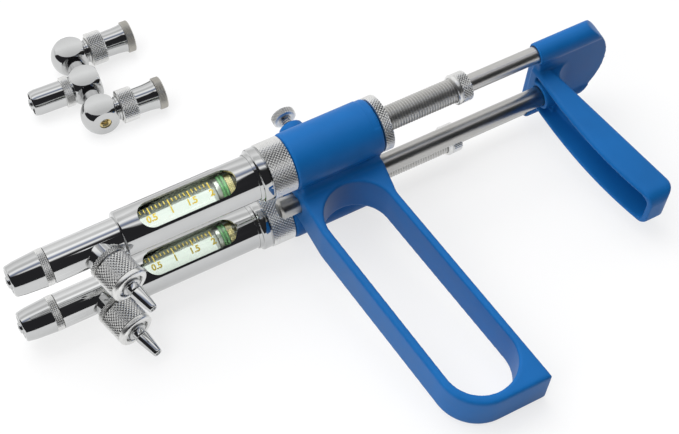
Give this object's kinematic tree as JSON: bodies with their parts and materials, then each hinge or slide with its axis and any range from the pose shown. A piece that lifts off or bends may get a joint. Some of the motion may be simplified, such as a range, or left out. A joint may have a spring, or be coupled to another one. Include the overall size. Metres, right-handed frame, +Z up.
{
  "type": "twin barrel self filling syringe",
  "caption": "Twin barrel self filling syringe with glass windows, finger loop, palm grip and a loose joining manifold.",
  "frame": {"origin": "middle of the whole set's footprint, on the table that it lies on", "axes": "+X from the nozzles to the palm grip, +Z up from the table, +Y away from the finger loop towards the loose manifold"},
  "size_m": [0.223, 0.2189, 0.0511],
  "materials": {
    "blue_plastic": "smooth moulded, slightly glossy",
    "chrome": "bright plated, knurled where gripped",
    "steel": "ground rod",
    "glass": "clear with a printed yellow scale",
    "brass": "turned",
    "green_rubber": "soft seal",
    "black_rubber": "soft seal"
  },
  "bodies": {
    "syringe": {"housing_handle": "blue_plastic", "glass_gaskets": "black_rubber", "front_body_upper": "chrome", "front_body_lower": "chrome", "inlet_ring_upper": "chrome", "inlet_ring_lower": "chrome", "hose_nipple_upper": "chrome", "hose_nipple_lower": "chrome", "window_sleeve_upper": "chrome", "window_sleeve_lower": "chrome", "glass_cylinder_upper": "glass", "glass_cylinder_lower": "glass", "adapter_upper": "steel", "adapter_lower": "steel", "return_spring_upper": "steel", "return_spring_lower": "steel", "outlet_spring_upper": "steel", "outlet_spring_lower": "steel", "inlet_spring_upper": "steel", "inlet_spring_lower": "steel"},
    "plunger": {"palm_grip": "blue_plastic", "guide_rod": "steel", "piston_head_upper": "steel", "piston_head_lower": "steel", "piston_rings_upper": "green_rubber", "piston_rings_lower": "green_rubber", "piston_nut_upper": "brass", "piston_nut_lower": "brass", "piston_rod_upper": "steel", "piston_rod_lower": "steel", "spring_seat_upper": "steel", "spring_seat_lower": "steel"},
    "lock_stud": {"lock_screw_stud": "chrome"},
    "lock_head": {"lock_screw_head": "chrome"},
    "manifold": {"manifold_body": "chrome", "outlet_ring": "chrome", "manifold_plug": "brass"},
    "gland_a": {"gland_nut_a": "chrome"},
    "gland_c": {"gland_nut_c": "chrome"},
    "socket_tube_a": {"socket_a": "chrome"},
    "socket_tube_c": {"socket_c": "chrome"},
    "nozzle_upper_part": {"nozzle_upper": "chrome"},
    "nozzle_lower_part": {"nozzle_lower": "chrome"},
    "outlet_valve_upper_part": {"outlet_valve_upper": "black_rubber"},
    "outlet_valve_lower_part": {"outlet_valve_lower": "black_rubber"},
    "union_nut_upper_part": {"union_nut_upper": "chrome"},
    "union_nut_lower_part": {"union_nut_lower": "chrome"},
    "inlet_valve_upper_part": {"inlet_valve_upper": "black_rubber"},
    "inlet_valve_lower_part": {"inlet_valve_lower": "black_rubber"},
    "collar_nut_upper_part": {"collar_nut_upper": "chrome"},
    "collar_nut_lower_part": {"collar_nut_lower": "chrome"},
    "lock_disc_upper_part": {"lock_disc_upper": "chrome"},
    "lock_disc_lower_part": {"lock_disc_lower": "chrome"},
    "dose_sleeve_upper_part": {"dose_sleeve_upper": "steel"},
    "dose_sleeve_lower_part": {"dose_sleeve_lower": "steel"},
    "dose_knob_upper_part": {"dose_knob_upper": "chrome"},
    "dose_knob_lower_part": {"dose_knob_lower": "chrome"}
  },
  "joints": [
    {"name": "squeeze", "type": "slide", "parent": "syringe", "child": "plunger", "axis": [-1, 0, 0], "range_m": [0, 0.027], "stiffness_N_per_m": 350, "springref_m": -0.012, "deforming": ["return_spring_upper", "return_spring_lower"]},
    {"name": "dose_feed_upper", "type": "slide", "parent": "syringe", "child": "dose_sleeve_upper_part", "axis": [1, 0, 0], "range_m": [-0.0055, 0]},
    {"name": "dose_turn_upper", "type": "hinge", "parent": "dose_sleeve_upper_part", "child": "dose_knob_upper_part", "pos_m": [0.01767, -0.01108, 0.04133], "axis": [1, 0, 0], "range_deg": [-1980, 0]},
    {"name": "lock_disc_turn_upper", "type": "hinge", "parent": "syringe", "child": "lock_disc_upper_part", "pos_m": [0.01767, -0.01108, 0.04133], "axis": [1, 0, 0], "range_deg": [0, 360]},
    {"name": "collar_nut_turn_upper", "type": "hinge", "parent": "syringe", "child": "collar_nut_upper_part", "pos_m": [-0.01912, -0.01108, 0.04133], "axis": [1, 0, 0], "range_deg": [-360, 0]},
    {"name": "nozzle_turn_upper", "type": "hinge", "parent": "syringe", "child": "nozzle_upper_part", "pos_m": [-0.09757, -0.01108, 0.04133], "axis": [1, 0, 0], "range_deg": [-360, 0]},
    {"name": "outlet_valve_lift_upper", "type": "slide", "parent": "syringe", "child": "outlet_valve_upper_part", "axis": [-1, 0, 0], "range_m": [0, 0.0012], "stiffness_N_per_m": 40, "springref_m": -0.001, "deforming": ["outlet_spring_upper"]},
    {"name": "union_nut_turn_upper", "type": "hinge", "parent": "syringe", "child": "union_nut_upper_part", "pos_m": [-0.07928, -0.02374, 0.03912], "axis": [0.2588, -0.9516, -0.1656], "range_deg": [0, 360]},
    {"name": "inlet_valve_lift_upper", "type": "slide", "parent": "syringe", "child": "inlet_valve_upper_part", "axis": [-0.2588, 0.9516, 0.1656], "range_m": [0, 0.0012], "stiffness_N_per_m": 40, "springref_m": -0.001, "deforming": ["inlet_spring_upper"]},
    {"name": "dose_feed_lower", "type": "slide", "parent": "syringe", "child": "dose_sleeve_lower_part", "axis": [1, 0, 0], "range_m": [-0.0055, 0]},
    {"name": "dose_turn_lower", "type": "hinge", "parent": "dose_sleeve_lower_part", "child": "dose_knob_lower_part", "pos_m": [0.01767, -0.0056, 0.0098], "axis": [1, 0, 0], "range_deg": [-1980, 0]},
    {"name": "lock_disc_turn_lower", "type": "hinge", "parent": "syringe", "child": "lock_disc_lower_part", "pos_m": [0.01767, -0.0056, 0.0098], "axis": [1, 0, 0], "range_deg": [0, 360]},
    {"name": "collar_nut_turn_lower", "type": "hinge", "parent": "syringe", "child": "collar_nut_lower_part", "pos_m": [-0.01912, -0.0056, 0.0098], "axis": [1, 0, 0], "range_deg": [-360, 0]},
    {"name": "nozzle_turn_lower", "type": "hinge", "parent": "syringe", "child": "nozzle_lower_part", "pos_m": [-0.09757, -0.0056, 0.0098], "axis": [1, 0, 0], "range_deg": [-360, 0]},
    {"name": "outlet_valve_lift_lower", "type": "slide", "parent": "syringe", "child": "outlet_valve_lower_part", "axis": [-1, 0, 0], "range_m": [0, 0.0012], "stiffness_N_per_m": 40, "springref_m": -0.001, "deforming": ["outlet_spring_lower"]},
    {"name": "union_nut_turn_lower", "type": "hinge", "parent": "syringe", "child": "union_nut_lower_part", "pos_m": [-0.07928, -0.01826, 0.0076], "axis": [0.2588, -0.9516, -0.1656], "range_deg": [0, 360]},
    {"name": "inlet_valve_lift_lower", "type": "slide", "parent": "syringe", "child": "inlet_valve_lower_part", "axis": [-0.2588, 0.9516, 0.1656], "range_m": [0, 0.0012], "stiffness_N_per_m": 40, "springref_m": -0.001, "deforming": ["inlet_spring_lower"]},
    {"name": "lock_screw_feed", "type": "slide", "parent": "syringe", "child": "lock_stud", "axis": [0, 0.9852, 0.1714], "range_m": [-0.0009, 0.0024]},
    {"name": "lock_screw_turn", "type": "hinge", "parent": "lock_stud", "child": "lock_head", "pos_m": [-0.00172, 0.01491, 0.02961], "axis": [0, 0.9852, 0.1714], "range_deg": [-462.9, 1234.3]},
    {"name": "manifold_lift", "type": "slide", "parent": "syringe", "child": "manifold", "axis": [0, 0, 1], "range_m": [0, 0.04]},
    {"name": "gland_turn_a", "type": "hinge", "parent": "manifold", "child": "gland_a", "pos_m": [-0.03829, 0.10231, 0.0063], "axis": [0.9986, -0.0523, 0], "range_deg": [0, 360]},
    {"name": "socket_swivel_a", "type": "hinge", "parent": "manifold", "child": "socket_tube_a", "pos_m": [-0.03829, 0.10231, 0.0063], "axis": [0.9986, -0.0523, 0], "continuous": true},
    {"name": "gland_turn_c", "type": "hinge", "parent": "manifold", "child": "gland_c", "pos_m": [-0.03999, 0.06996, 0.0063], "axis": [0.9986, -0.0523, 0], "range_deg": [0, 360]},
    {"name": "socket_swivel_c", "type": "hinge", "parent": "manifold", "child": "socket_tube_c", "pos_m": [-0.03999, 0.06996, 0.0063], "axis": [0.9986, -0.0523, 0], "continuous": true}
  ],
  "couplings": [
    {"joint": "dose_turn_upper", "follows": "dose_feed_upper", "rad_per_m": 6283.2},
    {"joint": "dose_turn_lower", "follows": "dose_feed_lower", "rad_per_m": 6283.2},
    {"joint": "lock_screw_turn", "follows": "lock_screw_feed", "rad_per_m": 8976}
  ]
}
